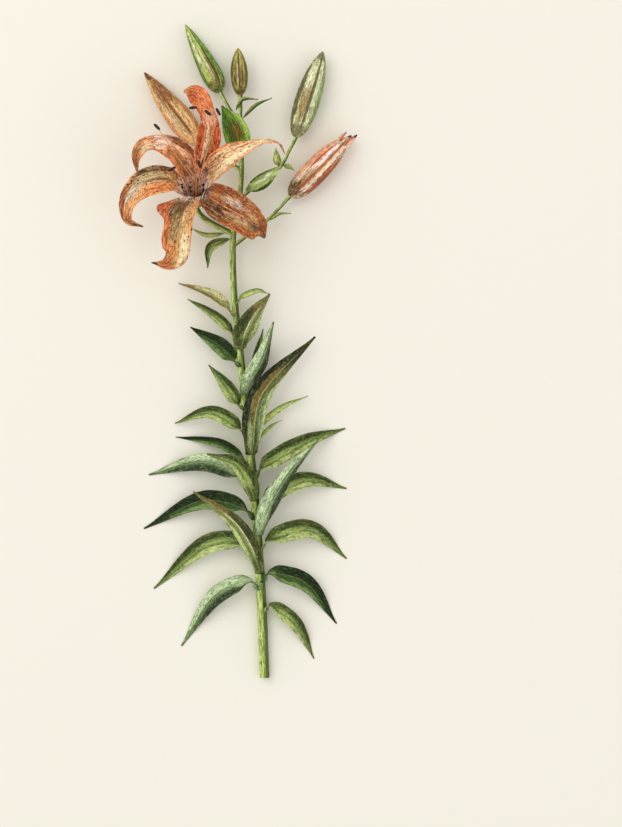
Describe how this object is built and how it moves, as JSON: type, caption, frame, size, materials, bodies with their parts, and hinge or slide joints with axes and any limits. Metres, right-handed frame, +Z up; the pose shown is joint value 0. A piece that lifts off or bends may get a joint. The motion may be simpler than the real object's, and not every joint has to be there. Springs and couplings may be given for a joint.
{
  "type": "tiger lily",
  "caption": "Cut stem of a tiger lily lying on its side: an open spotted flower with curled back tepals, closed buds, bracts and a leafy lower stem",
  "frame": {"origin": "centre of the bounding box on the surface the stem lies on", "axes": "+Y along the stem from the cut end to the buds, +X across it to the right, +Z up from the surface towards the viewer"},
  "size_m": [0.1878, 0.5216, 0.0943],
  "materials": {
    "stem": "fresh green stem skin, satin, olive stipple on one side",
    "leaf": "leaf skin, satin, lengthwise veins and a pale midline",
    "bract": "thin leaf skin, satin",
    "tepal": "petal skin, soft satin, dark spots and lengthwise streaks",
    "filament": "smooth pale stalk",
    "anther": "matte, dusted with pollen",
    "pistil": "smooth, moist at the stigma",
    "bud_green": "bud skin, satin, pale ridges",
    "bud_orange": "ripening bud skin, satin, pale ridges and red lines"
  },
  "bodies": {
    "root": {"stem": "stem", "leaf_01": "leaf", "leaf_02": "leaf", "leaf_03": "leaf", "leaf_04": "leaf", "leaf_05": "leaf", "leaf_06": "leaf", "leaf_07": "leaf", "leaf_08": "leaf", "leaf_09": "leaf", "leaf_10": "leaf", "leaf_11": "leaf", "leaf_12": "leaf", "leaf_13": "leaf", "leaf_14": "leaf", "leaf_15": "leaf", "leaf_16": "leaf", "leaf_17": "leaf", "leaf_18": "leaf", "leaf_19": "leaf", "leaf_20": "leaf", "leaf_21": "leaf", "leaf_22": "leaf", "leaf_23": "leaf", "leaf_24": "leaf", "leaf_25": "leaf", "bract_1": "bract", "bract_2": "bract", "bract_3": "bract", "bract_4": "bract", "bract_5": "bract", "bract_6": "bract", "bract_7": "bract", "bract_8": "bract", "bract_9": "bract", "tepal_up": "tepal", "tepal_upper_left": "tepal", "tepal_left": "tepal", "tepal_lower": "tepal", "tepal_lower_right": "tepal", "tepal_upper_right": "tepal", "filament_1": "filament", "filament_2": "filament", "filament_3": "filament", "filament_4": "filament", "filament_5": "filament", "filament_6": "filament", "anther_1": "anther", "anther_2": "anther", "anther_3": "anther", "anther_4": "anther", "anther_5": "anther", "anther_6": "anther", "pistil": "pistil", "bud_1": "bud_green", "bud_2": "bud_green", "bud_3": "bud_green", "bud_4": "bud_orange", "bud_5": "bud_orange"}
  },
  "joints": []
}
